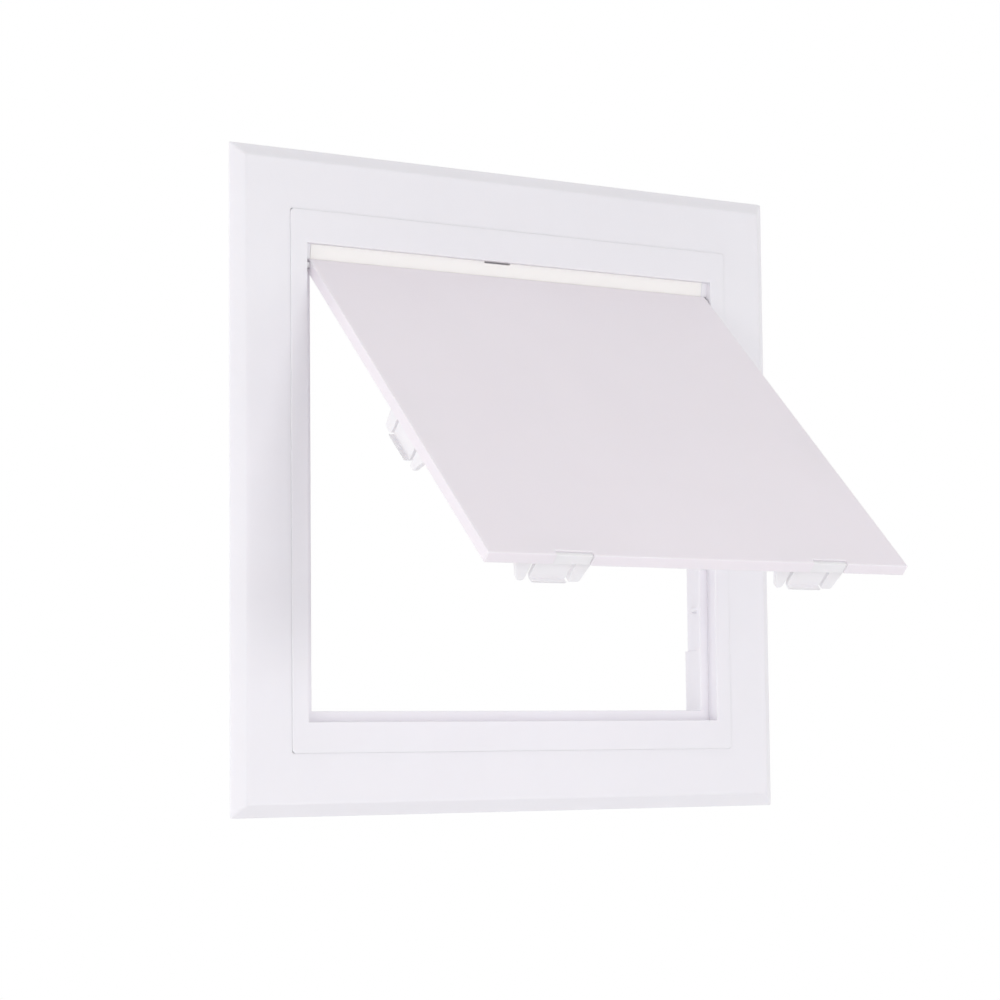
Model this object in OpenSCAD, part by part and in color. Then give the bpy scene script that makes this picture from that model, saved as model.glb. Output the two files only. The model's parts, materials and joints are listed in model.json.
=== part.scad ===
// Access panel with a two-part frame and a top-hinged door that snaps shut on four latches
// X runs to the right, Y runs into the wall, Z runs up; Y = 0 is the wall's face
// The origin is the middle of the frame on the wall's face

/* [Opening] */
// Width of the rebate that the door closes into
opening_w = 181.5; // [160:0.5:260]
// Height of the rebate that the door closes into
opening_h = 172; // [150:0.5:260]
// Width of the ledge that stops the closed door
ledge_w = 3.9; // [3:0.1:6]
// Thickness of the ledge
ledge_t = 2; // [1.6:0.1:3]

/* [Inner frame] */
// Width of the border at the left and the right
border_side = 6.75; // [6:0.05:10]
// Width of the border above the opening
border_top = 12; // [8:0.5:20]
// Width of the border below the opening
border_bottom = 11; // [8:0.5:20]
// How far the border stands in front of the bezel's face
border_proud = 0.4; // [0:0.1:2]
// Depth of the collar behind the wall's face
collar_depth = 19; // [14:0.5:40]
// Wall thickness of the collar
collar_wall = 2.4; // [1.8:0.1:3.5]
// Width of the step that the bezel sits on
step_w = 4; // [3:0.5:6]
// Thickness of the step that the bezel sits on
step_t = 2.4; // [1.8:0.1:3]
// Thickness of the gussets behind the ledge
gusset_t = 1.6; // [1.2:0.1:2.4]

/* [Trim bezel] */
// Width of the bezel from the groove to the outer edge
trim_w = 22.5; // [16:0.5:40]
// Thickness of the flange in front of the wall
flange_t = 5; // [4.5:0.1:7]
// Width of the bevel along the outer edge
bevel_w = 5; // [2:0.5:8]
// Depth of the bevel along the outer edge
bevel_d = 4; // [2:0.5:4]
// Gap between the bezel and the inner frame
groove_w = 0.1; // [0.05:0.05:0.6]
// Radius of the frame's corners
corner_r = 1.5; // [0.5:0.5:4]

/* [Screw pads] */
// Distance between the two screw holes on a side
screw_spacing = 142; // [80:1:150]
// Diameter of the screw holes
screw_d = 4.2; // [3:0.1:6]
// Depth of the screw holes behind the wall's face
screw_depth = 9; // [7:0.5:14]
// Length of a screw pad
pad_len = 24; // [10:0.5:30]
// How far a screw pad stands out of the collar
pad_t = 1.2; // [1:0.1:4]

/* [Hinge strip] */
// How far the strip's lower edge stands in front of the ledge
strip_t = 2.3; // [2:0.05:3.2]
// How much further out the strip's top edge stands
strip_lean = 0.9; // [0:0.1:2]
// Height of the strip's lower edge above the hinge axis
strip_rise = 1.85; // [1.2:0.05:2.2]
// Width of the frame's blocks at the strip's ends
block_w = 2.6; // [1.6:0.1:5]
// Length of the notch for prying the strip out
pry_len = 11.5; // [8:0.5:30]
// Height of the notch
pry_h = 0.7; // [0.5:0.1:2.5]
// Middle of the notch along the strip
pry_x = -8; // [-30:0.5:30]

/* [Door] */
// How far the door stands open
open_angle = 46; // [0:1:90]
// Gap at each side of the door
door_gap_side = 1.75; // [0.6:0.05:3]
// Gap below the closed door
door_gap_bottom = 2.25; // [0.6:0.05:3]
// Thickness of the door over its rim
door_t = 4.5; // [4:0.1:6]
// Thickness of the door's face
door_skin = 2; // [1.6:0.1:2.6]
// Width of the door's rim
rim_w = 2; // [1.6:0.1:4]
// Thickness of the door's ribs
rib_t = 1.5; // [1:0.1:2.5]
// How much lower than the rim the ribs are
rib_drop = 0.7; // [0.2:0.1:1]
// Length of the notch in the door's edge beside a bottom latch
notch_len = 15; // [8:0.1:16]
// Depth of the notch
notch_d = 2.1; // [1:0.1:2.3]
// Start of the notch from the middle of the latch
notch_x = -2.5; // [-4:0.1:-1]
// Number of upright ribs
ribs_upright = 3; // [1:1:6]
// Number of level ribs
ribs_level = 3; // [1:1:6]

/* [Hinge] */
// Distance from the top of the rebate down to the hinge axis
hinge_drop = 7.75; // [6.5:0.05:9]
// Diameter of the hinge pins
pin_d = 2.4; // [1.6:0.1:2.8]
// Depth of a pin in the door
pin_grip = 10; // [6:0.5:20]
// Depth of a pin's bore in the frame
pin_bore_depth = 5.5; // [3:0.1:5.6]

/* [Latches] */
// Distance from the door's left end to the middle of the left bottom latch
latch_from_left = 29.5; // [24:0.5:60]
// Distance from the door's right end to the middle of the right bottom latch
latch_from_right = 40; // [24:0.5:60]
// Distance from the door's bottom edge up to the middle of the side latches
latch_from_bottom = 70; // [40:0.5:90]
// Width of a tongue
tongue_w = 14.5; // [10:0.5:22]
// Thickness of a tongue
tongue_t = 1.5; // [1.2:0.1:2.2]
// Radius of the tongue's corners
tongue_r = 4; // [1:0.5:4.5]
// Width of the finger beside a tongue
finger_w = 7; // [6.5:0.1:9]
// Width of the gusset cheek beside a tongue
cheek_w = 6.2; // [5.5:0.1:9]
// Slit between a tongue and its neighbours
slit_w = 1.4; // [0.8:0.1:2.5]
// Thickness of the finger and the cheek
guard_t = 2; // [1.4:0.1:3]
// How much the finger narrows towards its tip
finger_slope = 3.8; // [0:0.1:4]
// How much the cheek narrows towards its tip
cheek_slope = 1.2; // [0:0.1:3]
// Radius of the corners at their tips
guard_r = 1.2; // [0.3:0.1:1.2]
// Width of the clip's foot on the door
foot_w = 7; // [5:0.5:10]
// Thickness of the clip's foot
foot_t = 1; // [0.8:0.1:1.6]
// How far a bottom clip's root stays behind the door's face
root_drop = 0.6; // [0.3:0.1:1.2]
// How far a bottom clip's root stays behind the door's edge
root_back = 0.4; // [0.2:0.1:1]
// Depth of the keepers behind the wall's face
keeper_depth = 7; // [6:0.5:9]
// Thickness of the keepers
keeper_t = 2.4; // [1.6:0.1:3]
// How far the barb hooks behind its keeper
barb_bite = 1.1; // [0.6:0.1:1.4]
// Length of the barb's slope
barb_len = 2.5; // [1.5:0.1:4]

/* [Clearances] */
// Gap between the closed door and the ledge
seat_gap = 0.3; // [0.2:0.05:0.5]
// Gap between the clips and the edge of the ledge
clip_clear = 0.8; // [0.8:0.05:1.5]
// Gap between a barb and its keeper
catch_gap = 0.3; // [0.2:0.05:0.5]
// Gap round a bottom clip's root in the door
root_clear = 0.05; // [0.02:0.01:0.1]
// Gap under the root of a tongue
root_gap = 0.3; // [0.2:0.05:0.5]
// Radial clearance of a pin in the frame
pin_clear = 0.05; // [0.02:0.01:0.1]
// Gap between a pin's end and the bottom of its bore
pin_end_gap = 0.3; // [0.2:0.1:1]
// Gap between the step and the bezel's rebate
step_clear = 0.2; // [0.1:0.05:0.4]
// Gap between the strip and the door's hinge edge
strip_clear = 0.1; // [0.1:0.05:0.6]
// Gap at each end of the strip
strip_gap = 0.1; // [0.05:0.05:0.3]

/* [Hidden] */
$fn = 64;
// Overlap that keeps cuts and joined shapes clean
eps = 0.01;
cut = 1;
// The inner frame and the bezel grow outwards from the opening
inner_w = opening_w + 2 * border_side;
inner_h = opening_h + border_top + border_bottom;
frame_w = inner_w + 2 * trim_w;
frame_h = inner_h + 2 * trim_w;
front_y = -flange_t;
border_front = front_y - border_proud;
open_bottom = border_bottom - inner_h / 2;
open_top = open_bottom + opening_h;
open_half = opening_w / 2;
// The window inside the ledge
window_half = open_half - ledge_w;
window_bottom = open_bottom + ledge_w;
window_top = open_top - ledge_w;
// The closed door and its hinge
door_w = opening_w - 2 * door_gap_side;
door_back = front_y + door_t;
door_bottom = open_bottom + door_gap_bottom;
hinge_y = front_y + door_t / 2;
hinge_z = open_top - hinge_drop;
ledge_front = door_back + seat_gap;
ledge_back = ledge_front + ledge_t;
collar_half_w = inner_w / 2 - collar_wall;
collar_half_h = inner_h / 2 - collar_wall;
// Latch sizes along the edge and away from the door's back
clip_left = tongue_w / 2 + slit_w + finger_w;
clip_right = tongue_w / 2 + slit_w + cheek_w;
catch_v = keeper_depth + catch_gap - door_back;
tip_v = catch_v + barb_len;
guard_short = 1;
guard_v = tip_v - guard_short;
barb_land = 0.6;
pivot_v = foot_t + root_gap + tongue_t / 2;
buttress_foot = 1;
buttress_drop = 2;
buttress_inset = 0.5;
keeper_margin = 2;
keeper_foot = 1;
// Gussets: heights on the sides as shares of the opening, insets at the ends of the other bars
gusset_rows = [-0.25, 0.06, 0.25];
gusset_inset = 4;
gusset_toe = 0.5;
gusset_back = 2;
// Latch places in the closed door
latch_x_left = latch_from_left - door_w / 2;
latch_x_right = door_w / 2 - latch_from_right;
latch_z_bottom = window_bottom + clip_clear;
latch_x_side = window_half - clip_clear;
latch_z_side = door_bottom + latch_from_bottom;
// The door's bottom edge and the notch's wall in a bottom latch's own place, and the root's reach inwards
edge_v = door_bottom - latch_z_bottom;
notch_v = edge_v + notch_d;
root_reach = 2;
// How far a latch's seat runs out to the door's rim
seat_reach = max(latch_z_bottom - door_bottom, door_w / 2 - latch_x_side) - rim_w / 2;

white = [0.93, 0.93, 0.95];
cream = [0.96, 0.95, 0.93];

// A box between two corners
module box(low, high) {
    translate(low)
        cube(high - low);
}

// A square-cornered opening through Y
module window(half, bottom, top, y0, y1) {
    box([-half, y0, bottom], [half, y1, top]);
}

// A plate with round corners, centred on X and Z, from y0 to y1
module plate(w, h, r, y0, y1) {
    translate([0, y1, 0])
        rotate([90, 0, 0])
            linear_extrude(y1 - y0) {
                square([w - 2 * r, h], center = true);
                square([w, h - 2 * r], center = true);
                for (x = [-1, 1], z = [-1, 1])
                    translate([x * (w / 2 - r), z * (h / 2 - r)])
                        circle(r);
            }
}

// The bezel's section, bevelled at both ends, as a bar along Z
module bevelled_bar(w, length) {
    half = w / 2;
    translate([0, 0, -length / 2])
        linear_extrude(length)
            polygon([
                [-half, 0], [-half, bevel_d - flange_t], [bevel_w - half, front_y],
                [half - bevel_w, front_y], [half, bevel_d - flange_t], [half, 0]
            ]);
}

module trim_bezel() {
    color(white)
        difference() {
            intersection() {
                bevelled_bar(frame_w, frame_h + cut);
                rotate([0, 90, 0])
                    bevelled_bar(frame_h, frame_w + cut);
                plate(frame_w, frame_h, corner_r, front_y - cut, cut);
            }
            plate(inner_w + 2 * groove_w, inner_h + 2 * groove_w, corner_r, front_y - cut, cut);
            plate(inner_w + 2 * (step_w + step_clear), inner_h + 2 * (step_w + step_clear),
                corner_r, -step_t, cut);
        }
}

// Triangular gusset in the corner between the ledge's back and the collar, in the XY plane
module gusset(reach) {
    drop = collar_depth - ledge_back - gusset_back;
    translate([0, 0, -gusset_t / 2])
        linear_extrude(gusset_t)
            polygon([[eps, -eps], [-reach, -eps], [-reach, gusset_toe], [eps, drop]]);
}

// Gussets stand clear of the keepers and the screw pads
module gussets() {
    side_reach = collar_half_w - window_half;
    bottom_reach = collar_half_h + window_bottom;
    top_reach = collar_half_h - window_top;
    end_x = window_half - gusset_inset;
    for (side = [0, 1], row = gusset_rows)
        mirror([side, 0, 0])
            translate([collar_half_w, ledge_back, row * opening_h])
                gusset(side_reach);
    for (x = [-end_x, (latch_x_left + latch_x_right) / 2, end_x])
        translate([x, ledge_back, -collar_half_h])
            rotate([0, 90, 0])
                gusset(bottom_reach);
    for (x = [-end_x, -end_x / 3, end_x / 3, end_x])
        translate([x, ledge_back, collar_half_h])
            rotate([0, -90, 0])
                gusset(top_reach);
}

// Keeper behind the ledge, in a bottom latch's own place
module keeper() {
    half = tongue_w / 2 + keeper_margin;
    box([-half, ledge_back - eps, -clip_clear - keeper_t], [half, keeper_depth, -clip_clear]);
    // Foot that ties the keeper to the ledge's back
    box([-half, ledge_back - eps, -clip_clear - keeper_t - keeper_foot],
        [half, ledge_back + keeper_foot, -clip_clear]);
}

module screw_holes() {
    for (z = [-1, 1])
        translate([-inner_w / 2 - cut, screw_depth, z * screw_spacing / 2])
            rotate([0, 90, 0])
                cylinder(d = screw_d, h = inner_w + 2 * cut);
}

module screw_pads() {
    for (side = [0, 1], z = [-1, 1])
        mirror([side, 0, 0])
            box([collar_half_w - pad_t, ledge_back - eps, z * screw_spacing / 2 - pad_len / 2],
                [collar_half_w + eps, collar_depth, z * screw_spacing / 2 + pad_len / 2]);
}

module hinge_bores() {
    for (side = [0, 1])
        mirror([side, 0, 0])
            translate([open_half - cut, hinge_y, hinge_z])
                rotate([0, 90, 0])
                    cylinder(r = pin_d / 2 + pin_clear, h = pin_bore_depth + cut);
}

// The strip's section from x0 to x1, hollowed round the door's hinge edge; join runs it into the frame
module strip_bar(x0, x1, join = 0) {
    bottom = hinge_z + strip_rise;
    front = ledge_front - strip_t;
    difference() {
        translate([x0, 0, 0])
            rotate([90, 0, 90])
                linear_extrude(x1 - x0)
                    polygon([[ledge_front + join, bottom], [front, bottom],
                        [front - strip_lean, open_top + join], [ledge_front + join, open_top + join]]);
        translate([x0 - cut, hinge_y, hinge_z])
            rotate([0, 90, 0])
                cylinder(r = door_t / 2 + strip_clear, h = x1 - x0 + 2 * cut);
    }
}

// Blocks in the rebate's top corners that the strip's ends stand against
module strip_blocks() {
    for (side = [0, 1])
        mirror([side, 0, 0])
            strip_bar(open_half - block_w, open_half + eps, eps);
}

module inner_frame() {
    color(white)
        difference() {
            union() {
                difference() {
                    union() {
                        plate(inner_w, inner_h, corner_r, border_front, collar_depth);
                        plate(inner_w + 2 * step_w, inner_h + 2 * step_w, corner_r, -step_t, 0);
                    }
                    window(open_half, open_bottom, open_top, border_front - cut, ledge_front);
                    window(window_half, window_bottom, window_top, front_y, ledge_back + cut);
                    window(collar_half_w, -collar_half_h, collar_half_h, ledge_back, collar_depth + cut);
                }
                gussets();
                strip_blocks();
                screw_pads();
                latch_places(in_frame = true) keeper();
            }
            hinge_bores();
            screw_holes();
        }
}

// Strip over the hinge edge, with a notch in its top edge
module hinge_strip() {
    half = open_half - block_w - strip_gap;
    color(cream)
        difference() {
            strip_bar(-half, half);
            box([pry_x - pry_len / 2, border_front, open_top - pry_h],
                [pry_x + pry_len / 2, ledge_front + cut, open_top + cut]);
        }
}

// Turns the closed door about its hinge to the angle at which it stands open
module door_pose() {
    translate([0, hinge_y, hinge_z])
        rotate([-open_angle, 0, 0])
            translate([0, -hinge_y, -hinge_z])
                children();
}

// The four latch places: along the edge is X, away from the door's back is Y, inwards is Z
module latch_place(name) {
    depth = door_back;
    if (name == "bottom_left")
        translate([latch_x_left, depth, latch_z_bottom])
            children();
    if (name == "bottom_right")
        translate([latch_x_right, depth, latch_z_bottom])
            children();
    if (name == "right")
        translate([latch_x_side, depth, latch_z_side])
            rotate([0, -90, 0])
                children();
    if (name == "left")
        mirror([1, 0, 0])
            translate([latch_x_side, depth, latch_z_side])
                rotate([0, -90, 0])
                    children();
}

// All four places at once; the frame's own places start from the wall's face
module latch_places(in_frame = false) {
    for (name = ["bottom_left", "bottom_right", "left", "right"])
        latch_place(name)
            translate([0, in_frame ? -door_back : 0, 0])
                children();
}

// Land inside the tray that a clip's foot sits on
module latch_seat() {
    box([-clip_left, door_skin - door_t - eps, -seat_reach], [clip_right, 0, foot_w]);
}

// Notch in the door's edge and the pocket behind its face, in a bottom latch's own place
module root_pocket() {
    right = notch_x + notch_len;
    box([notch_x, -door_t - cut, edge_v - cut], [right, cut, notch_v]);
    box([notch_x, door_skin - door_t, edge_v - cut], [right, cut, root_reach]);
}

// Root of a bottom clip: it fills the notch and reaches under the foot
module clip_root() {
    left = notch_x + root_clear;
    right = notch_x + notch_len - root_clear;
    box([left, root_drop - door_t, edge_v + root_back], [right, eps, notch_v - root_clear]);
    box([left, door_skin - door_t + root_clear, edge_v + root_back], [right, eps, root_reach - root_clear]);
}

// Ribs across the back of the tray
module door_ribs() {
    rib_back = door_back - rib_drop;
    rib_front = front_y + door_skin - eps;
    span = hinge_z - door_bottom;
    for (i = [1:ribs_upright])
        translate([i * door_w / (ribs_upright + 1) - door_w / 2, 0, 0])
            box([-rib_t / 2, rib_front, door_bottom + eps], [rib_t / 2, rib_back, hinge_z]);
    for (i = [1:ribs_level])
        translate([0, 0, door_bottom + i * span / (ribs_level + 1)])
            box([eps - door_w / 2, rib_front, -rib_t / 2], [door_w / 2 - eps, rib_back, rib_t / 2]);
}

// The door as it closes, before it is turned open
module closed_door() {
    half = door_w / 2;
    difference() {
        union() {
            difference() {
                box([-half, front_y, door_bottom], [half, door_back, hinge_z]);
                box([rim_w - half, front_y + door_skin, door_bottom + rim_w],
                    [half - rim_w, door_back + cut, hinge_z - door_t]);
            }
            translate([-half, hinge_y, hinge_z])
                rotate([0, 90, 0])
                    cylinder(d = door_t, h = door_w);
            door_ribs();
            latch_places() latch_seat();
        }
        for (side = [-1, 1])
            translate([side * (half - pin_grip / 2 + cut / 2), hinge_y, hinge_z])
                rotate([0, 90, 0])
                    cylinder(d = pin_d, h = pin_grip + cut, center = true);
        for (x = [latch_x_left, latch_x_right])
            translate([x, door_back, latch_z_bottom])
                root_pocket();
    }
}

module door_panel() {
    color(white)
        door_pose()
            closed_door();
}

module hinge_pin(side) {
    start = door_w / 2 - pin_grip;
    length = open_half + pin_bore_depth - pin_end_gap - start;
    color(white)
        mirror([side == "left" ? 1 : 0, 0, 0])
            translate([start, hinge_y, hinge_z])
                rotate([0, 90, 0])
                    cylinder(d = pin_d, h = length);
}

// Buttress behind the finger or the cheek
module buttress(x, width) {
    translate([x, 0, 0])
        rotate([90, 0, 90])
            linear_extrude(width)
                polygon([[foot_t - eps, guard_t - eps], [foot_t - eps, foot_w],
                    [foot_t + buttress_foot, foot_w], [guard_v - buttress_drop, guard_t - eps]]);
}

// Outline of the finger or the cheek: the side towards the tongue is straight, the other slopes in
module guard_outline(width, slope) {
    hull() {
        square([width, foot_t]);
        for (x = [guard_r, width - slope - guard_r])
            translate([x, guard_v - guard_r])
                circle(guard_r);
    }
}

// Foot, finger and cheek, in a latch's own place
module latch_clip_shape() {
    edge = tongue_w / 2 + slit_w;
    box([-clip_left, 0, 0], [clip_right, foot_t, foot_w]);
    linear_extrude(guard_t) {
        translate([edge, 0])
            guard_outline(cheek_w, cheek_slope);
        translate([-edge, 0])
            mirror([1, 0])
                guard_outline(finger_w, finger_slope);
    }
    buttress(edge + buttress_inset, guard_t);
    buttress(-edge - buttress_inset - guard_t, guard_t);
}

module latch_clip(name) {
    color(white)
        door_pose()
            latch_place(name) {
                latch_clip_shape();
                if (name == "bottom_left" || name == "bottom_right")
                    clip_root();
            }
}

// Section of the tongue and its barb: away from the door, then inwards
module tongue_section() {
    reach = clip_clear + barb_bite;
    polygon([
        [pivot_v, 0], [catch_v, 0], [catch_v, -reach], [catch_v + barb_land, -reach],
        [tip_v, tongue_t / 3], [tip_v, tongue_t], [pivot_v, tongue_t]
    ]);
    translate([pivot_v, tongue_t / 2])
        circle(d = tongue_t);
}

// Outline of the tongue with two round corners at its free end
module tongue_outline() {
    half = tongue_w / 2;
    translate([-half, 0])
        square([tongue_w, tip_v - tongue_r]);
    translate([tongue_r - half, 0])
        square([tongue_w - 2 * tongue_r, tip_v + cut]);
    for (side = [-1, 1])
        translate([side * (half - tongue_r), tip_v - tongue_r])
            circle(tongue_r);
}

module latch_tongue_shape() {
    intersection() {
        translate([-tongue_w / 2, 0, 0])
            rotate([90, 0, 90])
                linear_extrude(tongue_w)
                    tongue_section();
        translate([0, 0, -foot_w])
            linear_extrude(2 * foot_w)
                tongue_outline();
    }
}

module latch_tongue(name) {
    color(white)
        door_pose()
            latch_place(name)
                latch_tongue_shape();
}

trim_bezel();
inner_frame();
hinge_strip();
door_panel();
hinge_pin("left");  // hinge_pin_left
hinge_pin("right");  // hinge_pin_right
latch_clip("bottom_left");  // latch_clip_bottom_left
latch_clip("bottom_right");  // latch_clip_bottom_right
latch_clip("left");  // latch_clip_left
latch_clip("right");  // latch_clip_right
latch_tongue("bottom_left");  // latch_tongue_bottom_left
latch_tongue("bottom_right");  // latch_tongue_bottom_right
latch_tongue("left");  // latch_tongue_left
latch_tongue("right");  // latch_tongue_right
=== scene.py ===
import json
import math

import bmesh
import bpy
from mathutils import Euler, Matrix, Vector


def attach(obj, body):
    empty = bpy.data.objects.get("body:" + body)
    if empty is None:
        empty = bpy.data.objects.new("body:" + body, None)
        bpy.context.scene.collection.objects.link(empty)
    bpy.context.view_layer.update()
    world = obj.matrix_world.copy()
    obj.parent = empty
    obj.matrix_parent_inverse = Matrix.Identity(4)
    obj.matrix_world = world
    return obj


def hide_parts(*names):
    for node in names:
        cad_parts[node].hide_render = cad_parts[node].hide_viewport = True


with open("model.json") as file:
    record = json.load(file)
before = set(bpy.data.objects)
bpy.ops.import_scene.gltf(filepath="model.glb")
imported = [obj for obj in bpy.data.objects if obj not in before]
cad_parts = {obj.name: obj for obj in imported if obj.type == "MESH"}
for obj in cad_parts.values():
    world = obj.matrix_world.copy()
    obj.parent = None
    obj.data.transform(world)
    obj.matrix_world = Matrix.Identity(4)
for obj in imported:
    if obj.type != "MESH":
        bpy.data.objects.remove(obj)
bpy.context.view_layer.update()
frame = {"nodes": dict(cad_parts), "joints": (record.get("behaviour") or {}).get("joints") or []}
scene = bpy.context.scene
scene.view_settings.view_transform = "Standard"
mm = 0.001
print("frame loaded with", len(frame["nodes"]), "nodes")


# sRGB hex to the linear colour that a shader takes
def linearColour(code):
    parts = [int(code[i:i + 2], 16) / 255 for i in (1, 3, 5)]
    return [c / 12.92 if c <= 0.04045 else ((c + 0.055) / 1.055) ** 2.4 for c in parts] + [1.0]


# One node with its settings, fixed inputs and incoming links
def addNode(tree, kind, settings={}, inputs={}):
    node = tree.nodes.new(kind)
    for name, value in settings.items():
        setattr(node, name, value)
    for socket, value in inputs.items():
        if isinstance(value, bpy.types.NodeSocket):
            tree.links.new(value, node.inputs[socket])
        else:
            node.inputs[socket].default_value = value
    return node


# Result of one math node
def maths(tree, operation, *values):
    node = addNode(tree, "ShaderNodeMath", {"operation": operation}, dict(enumerate(values)))
    return node.outputs[0]


# 1 for the rays that an eye follows: straight, mirrored or through something clear
def seenRays(tree):
    ray = addNode(tree, "ShaderNodeLightPath").outputs
    mirrored = maths(tree, "MAXIMUM", ray["Is Camera Ray"], ray["Is Glossy Ray"])
    return maths(tree, "MAXIMUM", mirrored, ray["Is Transmission Ray"])


# How busy each pattern of a moulded skin is, and how far each colour of light spreads under it
skin = {
    "flowDetail": 3.0, "flowSwirl": 0.6, "patchDetail": 2.0, "patchSpan": (0.3, 0.7),
    "grainDetail": 2.0, "grainRoughness": 0.6, "waveDetail": 0.0, "depthTint": (1.0, 0.95, 0.92)}


# Injection-moulded plastic: a satin skin from the tool's spark texture, faint cloudy flow marks
# in the pigment, patches that are a little shinier, a slow waviness from shrinkage, and light
# that spreads a little under the skin and softens corners and slits
def mouldedPlastic(name, finish):
    material = bpy.data.materials.new(name)
    material.use_nodes = True
    tree = material.node_tree
    tree.nodes.clear()
    place = addNode(tree, "ShaderNodeTexCoord").outputs["Object"]
    flow = addNode(tree, "ShaderNodeTexNoise", {}, {
        "Vector": place, "Scale": 1 / (finish["flowMm"] * mm), "Detail": skin["flowDetail"],
        "Distortion": skin["flowSwirl"]})
    colour = addNode(tree, "ShaderNodeMix", {"data_type": "RGBA"}, {
        "Factor": flow.outputs["Fac"], "A": linearColour(finish["pale"]),
        "B": linearColour(finish["deep"])})
    patches = addNode(tree, "ShaderNodeTexNoise", {}, {
        "Vector": place, "Scale": 1 / (finish["patchMm"] * mm), "Detail": skin["patchDetail"]})
    gloss = addNode(tree, "ShaderNodeMapRange", {}, {
        "Value": patches.outputs["Fac"],
        "From Min": skin["patchSpan"][0], "From Max": skin["patchSpan"][1],
        "To Min": finish["roughness"][0], "To Max": finish["roughness"][1]})
    # The real texture is about 0.1 mm, drawn coarser so that it shows
    grain = addNode(tree, "ShaderNodeTexNoise", {}, {
        "Vector": place, "Scale": 1 / (finish["grainMm"] * mm), "Detail": skin["grainDetail"],
        "Roughness": skin["grainRoughness"]})
    grainBump = addNode(tree, "ShaderNodeBump", {}, {
        "Height": grain.outputs["Fac"], "Strength": 1.0, "Distance": finish["grainDepthMm"] * mm})
    wave = addNode(tree, "ShaderNodeTexNoise", {}, {
        "Vector": place, "Scale": 1 / (finish["waveMm"] * mm), "Detail": skin["waveDetail"]})
    waveBump = addNode(tree, "ShaderNodeBump", {}, {
        "Height": wave.outputs["Fac"], "Strength": 1.0, "Distance": finish["waveDepthMm"] * mm,
        "Normal": grainBump.outputs["Normal"]})
    shader = addNode(tree, "ShaderNodeBsdfPrincipled", {}, {
        "Base Color": colour.outputs["Result"], "Roughness": gloss.outputs["Result"],
        "Normal": waveBump.outputs["Normal"], "IOR": finish["ior"],
        "Subsurface Weight": finish["depthShare"], "Subsurface Radius": skin["depthTint"],
        "Subsurface Scale": finish["depthMm"] * mm})
    addNode(tree, "ShaderNodeOutputMaterial", {}, {"Surface": shader.outputs["BSDF"]})
    return material


# White ABS of the frame: cool white, satin, with a fine even texture
frameAbs = mouldedPlastic("mouldedAbsFrameWhite", {
    "pale": "#F1EFF4", "deep": "#EDEBF0", "flowMm": 45, "patchMm": 18, "roughness": (0.42, 0.52),
    "grainMm": 0.7, "grainDepthMm": 0.012, "waveMm": 60, "waveDepthMm": 0.15, "ior": 1.53,
    "depthShare": 0.35, "depthMm": 1.5})
# The same ABS on the door, from a smoother tool, so the wide face shows softer light. Its colours are
# drawn a little darker than the frame's, as painted shade for the door's upturned face
doorAbsPaintedShade = mouldedPlastic("mouldedAbsDoorPaintedShade", {
    "pale": "#F1EBF1", "deep": "#EDE7ED", "flowMm": 60, "patchMm": 25, "roughness": (0.38, 0.48),
    "grainMm": 0.8, "grainDepthMm": 0.010, "waveMm": 80, "waveDepthMm": 0.20, "ior": 1.53,
    "depthShare": 0.35, "depthMm": 1.5})
# Soft PVC of the strip, pressed through a die, with a duller skin. Its warmer, paler colour than the
# ABS is painted light: it stands in for the warm glow on the band under the top lip
stripPvcPaintedGlow = mouldedPlastic("extrudedPvcPaintedGlow", {
    "pale": "#FEFBF8", "deep": "#FCF8F5", "flowMm": 30, "patchMm": 12, "roughness": (0.50, 0.60),
    "grainMm": 0.6, "grainDepthMm": 0.008, "waveMm": 40, "waveDepthMm": 0.10, "ior": 1.52,
    "depthShare": 0.35, "depthMm": 1.5})
# Acetal of the latches: a slippery plastic, so a little shinier and more even
latchAcetal = mouldedPlastic("mouldedAcetalWhite", {
    "pale": "#F0EEF1", "deep": "#ECEAED", "flowMm": 20, "patchMm": 8, "roughness": (0.32, 0.40),
    "grainMm": 0.5, "grainDepthMm": 0.006, "waveMm": 12, "waveDepthMm": 0.04, "ior": 1.48,
    "depthShare": 0.5, "depthMm": 2.0})
# Acetal of the hinge pins, smooth from running in their bores
pinAcetal = mouldedPlastic("runInAcetalWhite", {
    "pale": "#EDECEE", "deep": "#E8E7E9", "flowMm": 10, "patchMm": 4, "roughness": (0.26, 0.34),
    "grainMm": 0.4, "grainDepthMm": 0.004, "waveMm": 6, "waveDepthMm": 0.02, "ior": 1.48,
    "depthShare": 0.35, "depthMm": 1.5})
print("plastics made")


# How close points of a solid's mesh are joined, and which faces count as one flat
meshCare = {"mergeMm": 0.001, "flatDeg": 0.5}


# Rounds the sharp edges of a piece and shades its flats evenly
def soften(piece, label, part, clamp):
    radius = piece.modifiers.new(label, "BEVEL")
    radius.width = part["edgeMm"] * mm
    radius.segments = part["edgeSteps"]
    radius.limit_method = "ANGLE"
    radius.angle_limit = math.radians(part["sharpDeg"])
    radius.use_clamp_overlap = clamp
    piece.modifiers.new("evenShading", "WEIGHTED_NORMAL")


# Copy of a CAD node whose sharp edges get the small radius that a moulded part has
def softCopy(name, node, part, material):
    source = frame["nodes"][node]
    mesh = bmesh.new()
    mesh.from_mesh(source.data)
    bmesh.ops.remove_doubles(mesh, verts=mesh.verts, dist=meshCare["mergeMm"] * mm)
    bmesh.ops.dissolve_limit(
        mesh, angle_limit=math.radians(meshCare["flatDeg"]), verts=mesh.verts, edges=mesh.edges)
    data = bpy.data.meshes.new(name)
    mesh.to_mesh(data)
    mesh.free()
    if "custom_normal" in data.attributes:
        data.attributes.remove(data.attributes["custom_normal"])
    data.shade_smooth()
    data.materials.append(material)
    piece = bpy.data.objects.new(name, data)
    scene.collection.objects.link(piece)
    soften(piece, "toolRadius", part, False)
    return piece


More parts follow.
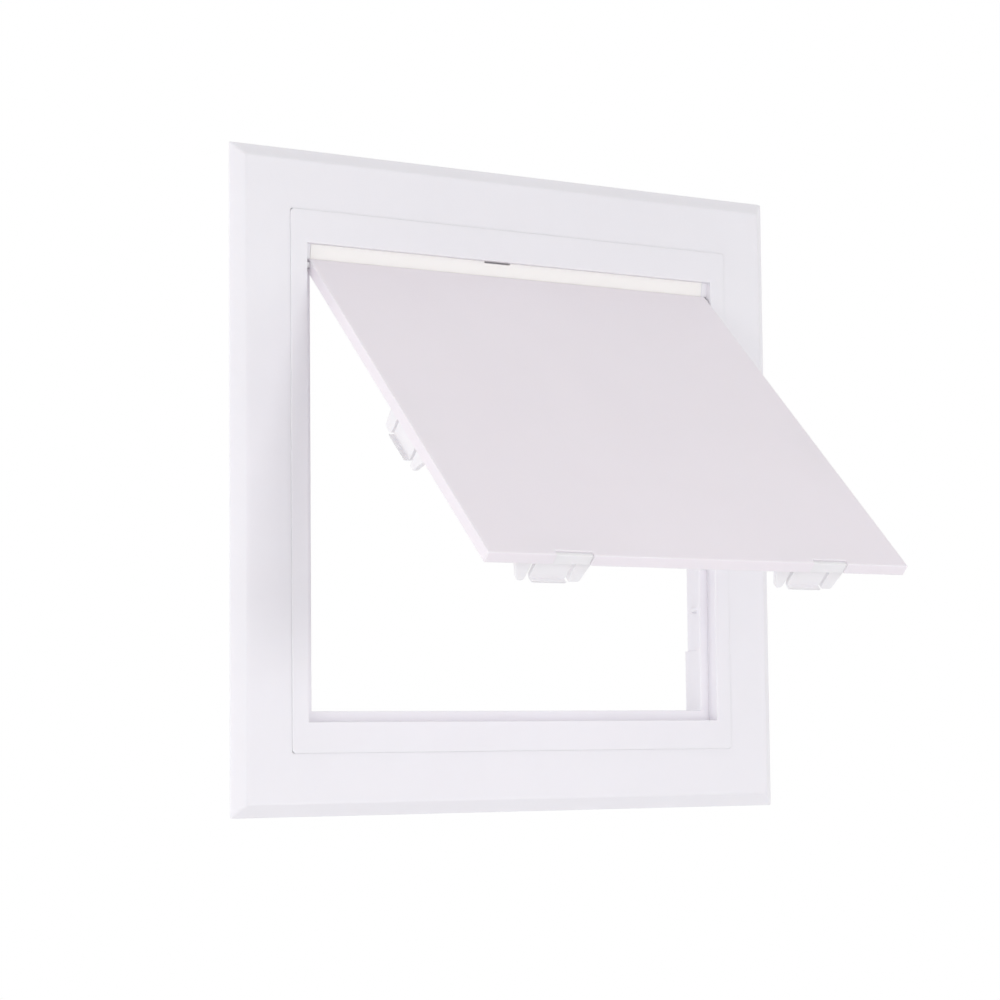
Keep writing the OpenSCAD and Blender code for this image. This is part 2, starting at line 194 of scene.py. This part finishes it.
# Node tree with a named input for each size
def newTree(name, sizes):
    tree = bpy.data.node_groups.new(name, "GeometryNodeTree")
    tree.is_modifier = True
    tree.interface.new_socket("Geometry", in_out="OUTPUT", socket_type="NodeSocketGeometry")
    for label, value in sizes.items():
        kind = "NodeSocketInt" if isinstance(value, int) else "NodeSocketFloat"
        tree.interface.new_socket(label, in_out="INPUT", socket_type=kind)
    return tree, addNode(tree, "NodeGroupInput").outputs


# Runs a tree on an empty object and keeps its result as a plain mesh
def growMesh(name, tree, sizes):
    piece = bpy.data.objects.new(name, bpy.data.meshes.new(name + "Start"))
    scene.collection.objects.link(piece)
    grower = piece.modifiers.new("grower", "NODES")
    grower.node_group = tree
    for item in tree.interface.items_tree:
        if item.in_out == "INPUT":
            grower[item.identifier] = sizes[item.name]
    bpy.context.view_layer.update()
    grown = piece.evaluated_get(bpy.context.evaluated_depsgraph_get())
    data = bpy.data.meshes.new_from_object(grown)
    piece.modifiers.remove(grower)
    piece.data = data
    data.name = name
    shape = bmesh.new()
    shape.from_mesh(data)
    bmesh.ops.recalc_face_normals(shape, faces=shape.faces)
    shape.to_mesh(data)
    shape.free()
    return piece


# Trim bezel: one mitred bar of the flange's section, set round the frame four times
trimBezel = {
    "Outer Half": 120 * mm, "Inner Half": 97.5 * mm, "Thickness": 5 * mm, "Bevel Width": 5 * mm,
    "Bevel Depth": 4 * mm, "Rebate Half": 101.7 * mm, "Rebate Depth": 2.4 * mm,
    "Groove Radius": 0.05 * mm, "Face Radius": 2.2 * mm, "Edge Radius": 0.5 * mm, "Radius Steps": 5,
    "Merge Distance": 0.01 * mm}
cornerSoftening = {"edgeMm": 1.0, "edgeSteps": 4, "sharpDeg": 48}
tree, size = newTree("mitredBezel", trimBezel)
front = maths(tree, "MULTIPLY", size["Thickness"], -1.0)
bevelEnd = maths(tree, "ADD", front, size["Bevel Depth"])
bevelStart = maths(tree, "SUBTRACT", size["Outer Half"], size["Bevel Width"])
rebate = maths(tree, "MULTIPLY", size["Rebate Depth"], -1.0)
# Section points from the groove round to the rebate: depth, distance from the middle, radius
section = [
    (front, size["Inner Half"], size["Groove Radius"]), (front, bevelStart, size["Face Radius"]),
    (bevelEnd, size["Outer Half"], size["Edge Radius"]), (0.0, size["Outer Half"], 0.0),
    (0.0, size["Rebate Half"], 0.0), (rebate, size["Rebate Half"], 0.0),
    (rebate, size["Inner Half"], 0.0)]
# The switches start with two items each
corners = addNode(tree, "GeometryNodeIndexSwitch", {"data_type": "VECTOR"})
radii = addNode(tree, "GeometryNodeIndexSwitch", {"data_type": "FLOAT"})
for index, (depth, out, radius) in enumerate(section):
    if index > 1:
        corners.index_switch_items.new()
        radii.index_switch_items.new()
    corner = addNode(tree, "ShaderNodeCombineXYZ", {}, {"Y": depth, "Z": out})
    tree.links.new(corner.outputs["Vector"], corners.inputs[str(index)])
    if isinstance(radius, bpy.types.NodeSocket):
        tree.links.new(radius, radii.inputs[str(index)])
pointIndex = addNode(tree, "GeometryNodeInputIndex").outputs["Index"]
tree.links.new(pointIndex, corners.inputs["Index"])
tree.links.new(pointIndex, radii.inputs["Index"])
loop = addNode(tree, "GeometryNodeMeshLine", {}, {"Count": len(section)})
loop = addNode(tree, "GeometryNodeSetPosition", {}, {
    "Geometry": loop.outputs["Mesh"], "Position": corners.outputs["Output"]})
loop = addNode(tree, "GeometryNodeMeshToCurve", {}, {"Mesh": loop.outputs["Geometry"]})
loop = addNode(tree, "GeometryNodeSetSplineCyclic", {}, {
    "Geometry": loop.outputs["Curve"], "Cyclic": True})
loop = addNode(tree, "GeometryNodeFilletCurve", {"mode": "POLY"}, {
    "Curve": loop.outputs["Geometry"], "Radius": radii.outputs["Output"],
    "Count": size["Radius Steps"]})
loop = addNode(tree, "GeometryNodeCurveToMesh", {}, {"Curve": loop.outputs["Curve"]})
sideways = addNode(tree, "ShaderNodeCombineXYZ", {}, {"X": 1.0})
bar = addNode(tree, "GeometryNodeExtrudeMesh", {"mode": "EDGES"}, {
    "Mesh": loop.outputs["Mesh"], "Offset": sideways.outputs["Vector"], "Offset Scale": 1.0})
# The ends follow the 45 degree mitre: x runs from -z to +z
here = addNode(tree, "ShaderNodeSeparateXYZ", {}, {
    "Vector": addNode(tree, "GeometryNodeInputPosition").outputs["Position"]}).outputs
along = maths(tree, "MULTIPLY_ADD", here["X"], 2.0, -1.0)
mitre = maths(tree, "MULTIPLY", along, here["Z"])
place = addNode(tree, "ShaderNodeCombineXYZ", {}, {"X": mitre, "Y": here["Y"], "Z": here["Z"]})
bar = addNode(tree, "GeometryNodeSetPosition", {}, {
    "Geometry": bar.outputs["Mesh"], "Position": place.outputs["Vector"]})
sides = addNode(tree, "GeometryNodeMeshLine", {}, {"Count": 4, "Offset": (0.0, 0.0, 0.0)})
quarter = maths(tree, "MULTIPLY", pointIndex, math.pi / 2)
turn = addNode(tree, "ShaderNodeCombineXYZ", {}, {"Y": quarter})
ring = addNode(tree, "GeometryNodeInstanceOnPoints", {}, {
    "Points": sides.outputs["Mesh"], "Instance": bar.outputs["Geometry"],
    "Rotation": turn.outputs["Vector"]})
ring = addNode(tree, "GeometryNodeRealizeInstances", {}, {"Geometry": ring.outputs["Instances"]})
ring = addNode(tree, "GeometryNodeMergeByDistance", {}, {
    "Geometry": ring.outputs["Geometry"], "Distance": size["Merge Distance"]})
ring = addNode(tree, "GeometryNodeSetShadeSmooth", {}, {"Geometry": ring.outputs["Geometry"]})
ring = addNode(tree, "GeometryNodeSetMaterial", {}, {
    "Geometry": ring.outputs["Geometry"], "Material": frameAbs})
addNode(tree, "NodeGroupOutput", {}, {"Geometry": ring.outputs["Geometry"]})
bezel = growMesh("trimBezel", tree, trimBezel)
soften(bezel, "cornerRadius", cornerSoftening, True)
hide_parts("trim_bezel")
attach(bezel, "frame")
print("trim bezel grown:", len(bezel.data.polygons), "faces")

# Inner frame with its collar, ledge, gussets, keepers and screw pads
innerFrame = {"edgeMm": 0.2, "edgeSteps": 3, "sharpDeg": 35}
inner = softCopy("innerFrame", "inner_frame", innerFrame, frameAbs)
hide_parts("inner_frame")
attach(inner, "frame")

# Strip that covers the hinge edge
hingeStrip = {"edgeMm": 0.06, "edgeSteps": 2, "sharpDeg": 35}
strip = softCopy("hingeStrip", "hinge_strip", hingeStrip, stripPvcPaintedGlow)
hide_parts("hinge_strip")
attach(strip, "frame")

# Door with its rim and ribs
doorPanel = {"edgeMm": 0.45, "edgeSteps": 3, "sharpDeg": 35}
door = softCopy("doorPanel", "door_panel", doorPanel, doorAbsPaintedShade)
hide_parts("door_panel")
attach(door, "door")

# Hinge pins with a small lead-in at their ends
hingePins = {"edgeMm": 0.3, "edgeSteps": 2, "sharpDeg": 50}
for side in ("left", "right"):
    pin = softCopy("hingePin" + side.title(), "hinge_pin_" + side, hingePins, pinAcetal)
    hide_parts("hinge_pin_" + side)
    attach(pin, "door")

# Latches: a rigid clip on the door and a springy tongue that has a body of its own
latches = {
    "places": ("bottom_left", "bottom_right", "left", "right"),
    "clip": {"edgeMm": 0.22, "edgeSteps": 3, "sharpDeg": 35},
    "tongue": {"edgeMm": 0.18, "edgeSteps": 3, "sharpDeg": 35}}
for where in latches["places"]:
    tag = where.title().replace("_", "")
    clip = softCopy("latchClip" + tag, "latch_clip_" + where, latches["clip"], latchAcetal)
    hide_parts("latch_clip_" + where)
    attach(clip, "door")
    tongue = softCopy("latchTongue" + tag, "latch_tongue_" + where, latches["tongue"], latchAcetal)
    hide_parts("latch_tongue_" + where)
    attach(tongue, "tongue_" + where)
print("frame, door and latches softened")

# Ejector marks: the moulding tool's push-out pins leave a low round pad in each bay of the door's back
ejectorMarks = {
    "Columns": 4, "Rows": 4, "Column Pitch": 44.5 * mm, "Row Pitch": 40.5 * mm, "Radius": 2.5 * mm,
    "Edge Slope": 0.2 * mm, "Height": 0.25 * mm, "Sides": 32}
doorBack = {"openDeg": 46, "skinBackMm": -3.0, "middleMm": -3.25, "sunkMm": 0.05}
tree, size = newTree("ejectorMarks", ejectorMarks)
spread = []
for count, pitch in (("Columns", "Column Pitch"), ("Rows", "Row Pitch")):
    gaps = maths(tree, "SUBTRACT", size[count], 1.0)
    spread.append(maths(tree, "MULTIPLY", gaps, size[pitch]))
bays = addNode(tree, "GeometryNodeMeshGrid", {}, {
    "Size X": spread[0], "Size Y": spread[1],
    "Vertices X": size["Columns"], "Vertices Y": size["Rows"]})
topRadius = maths(tree, "SUBTRACT", size["Radius"], size["Edge Slope"])
pad = addNode(tree, "GeometryNodeMeshCone", {"fill_type": "NGON"}, {
    "Vertices": size["Sides"], "Radius Top": topRadius, "Radius Bottom": size["Radius"],
    "Depth": size["Height"]})
marks = addNode(tree, "GeometryNodeInstanceOnPoints", {}, {
    "Points": bays.outputs["Mesh"], "Instance": pad.outputs["Mesh"]})
marks = addNode(tree, "GeometryNodeRealizeInstances", {}, {"Geometry": marks.outputs["Instances"]})
marks = addNode(tree, "GeometryNodeSetMaterial", {}, {
    "Geometry": marks.outputs["Geometry"], "Material": doorAbsPaintedShade})
addNode(tree, "NodeGroupOutput", {}, {"Geometry": marks.outputs["Geometry"]})
pads = growMesh("ejectorMarks", tree, ejectorMarks)
hinge = [joint for joint in frame["joints"] if joint["name"] == "door_hinge"][0]
axisPoint = Vector(hinge["pos_m"])
onBack = Vector((0, (doorBack["skinBackMm"] - doorBack["sunkMm"]) * mm, doorBack["middleMm"] * mm))
faceInwards = Matrix.Rotation(math.radians(-90), 4, "X")
swing = Matrix.Rotation(math.radians(-doorBack["openDeg"]), 4, "X")
pads.data.transform(
    Matrix.Translation(axisPoint) @ swing @ Matrix.Translation(onBack - axisPoint) @ faceInwards)
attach(pads, "door")
print("ejector marks grown:", len(pads.data.polygons), "faces")

# Floor: white to the eye, with a share of real shading that keeps the shadow
floorPlan = {"heightMm": -500, "halfMm": 600, "albedo": "#F7F7F8", "shadowShare": 0.15, "glow": 1.04}
white = linearColour("#FFFFFF")
half = floorPlan["halfMm"] * mm
low = floorPlan["heightMm"] * mm
floorMesh = bpy.data.meshes.new("studioFloor")
floorMesh.from_pydata(
    [(-half, -half, low), (half, -half, low), (half, half, low), (-half, half, low)], [],
    [(0, 1, 2, 3)])
floor = bpy.data.objects.new("studioFloor", floorMesh)
scene.collection.objects.link(floor)
paper = bpy.data.materials.new("paintedBoardFloor")
paper.use_nodes = True
tree = paper.node_tree
tree.nodes.clear()
matt = addNode(tree, "ShaderNodeBsdfDiffuse", {}, {"Color": linearColour(floorPlan["albedo"])})
glow = addNode(tree, "ShaderNodeEmission", {}, {"Color": white, "Strength": floorPlan["glow"]})
share = maths(tree, "MULTIPLY", seenRays(tree), 1 - floorPlan["shadowShare"])
look = addNode(tree, "ShaderNodeMixShader", {}, {
    "Fac": share, 1: matt.outputs["BSDF"], 2: glow.outputs["Emission"]})
addNode(tree, "ShaderNodeOutputMaterial", {}, {"Surface": look.outputs["Shader"]})
floorMesh.materials.append(paper)

# Studio light: an even white room, a little brighter behind the panel and full white to the eye
room = {"level": 0.70, "lean": (0.05, 0.15, 0.02), "seen": 1.0}
world = bpy.data.worlds.new("whiteStudio")
scene.world = world
world.use_nodes = True
tree = world.node_tree
tree.nodes.clear()
direction = addNode(tree, "ShaderNodeTexCoord").outputs["Generated"]
lean = addNode(tree, "ShaderNodeVectorMath", {"operation": "DOT_PRODUCT"}, {
    0: direction, 1: room["lean"]})
level = maths(tree, "ADD", lean.outputs["Value"], room["level"])
strength = addNode(tree, "ShaderNodeMix", {"data_type": "FLOAT"}, {
    "Factor": seenRays(tree), "A": level, "B": room["seen"]})
sky = addNode(tree, "ShaderNodeBackground", {}, {
    "Color": white, "Strength": strength.outputs["Result"]})
addNode(tree, "ShaderNodeOutputWorld", {}, {"Surface": sky.outputs["Background"]})

# Soft boxes: a key that throws the door's shadow on the left bar, a wide side light that reaches into
# the rebate, low fills for the latch slits and the bottom bar, and one behind that grazes the collar
softBoxes = {
    "key": {"atMm": (200, -1300, 200), "aimMm": (0, 0, 0), "sizeMm": (350, 350), "watts": 2.8},
    "side": {"atMm": (-1000, -450, 50), "aimMm": (0, 0, 0), "sizeMm": (800, 1000), "watts": 2.4},
    "slits": {"atMm": (-600, -760, -280), "aimMm": (0, -60, -60), "sizeMm": (400, 300), "watts": 0.5},
    "fill": {"atMm": (350, -700, -300), "aimMm": (40, 0, -100), "sizeMm": (500, 300), "watts": 0.55},
    "back": {"atMm": (-1000, 450, 120), "aimMm": (60, 0, -40), "sizeMm": (600, 700), "watts": 1.9}}
for name, box in softBoxes.items():
    lamp = bpy.data.lights.new(name + "SoftBox", "AREA")
    lamp.shape = "RECTANGLE"
    lamp.size = box["sizeMm"][0] * mm
    lamp.size_y = box["sizeMm"][1] * mm
    lamp.energy = box["watts"]
    stand = bpy.data.objects.new(name + "SoftBox", lamp)
    stand.location = Vector(box["atMm"]) * mm
    aim = Vector(box["aimMm"]) * mm - stand.location
    stand.rotation_euler = aim.to_track_quat("-Z", "Y").to_euler()
    stand.visible_camera = False
    scene.collection.objects.link(stand)
print("studio ready")

# Camera as the photograph was taken, from the front left and a little below
view = {
    "atMm": (-583.59, -886.56, -94.41), "turnDeg": (94.893, 0.563, -33.050), "lensMm": 102.05,
    "sensorMm": 36, "nearMm": 10}
camera = bpy.data.objects.new("photoCamera", bpy.data.cameras.new("photoCamera"))
camera.data.lens = view["lensMm"]
camera.data.sensor_width = view["sensorMm"]
camera.data.clip_start = view["nearMm"] * mm
camera.location = Vector(view["atMm"]) * mm
camera.rotation_euler = Euler([math.radians(a) for a in view["turnDeg"]], "XYZ")
scene.collection.objects.link(camera)
scene.camera = camera
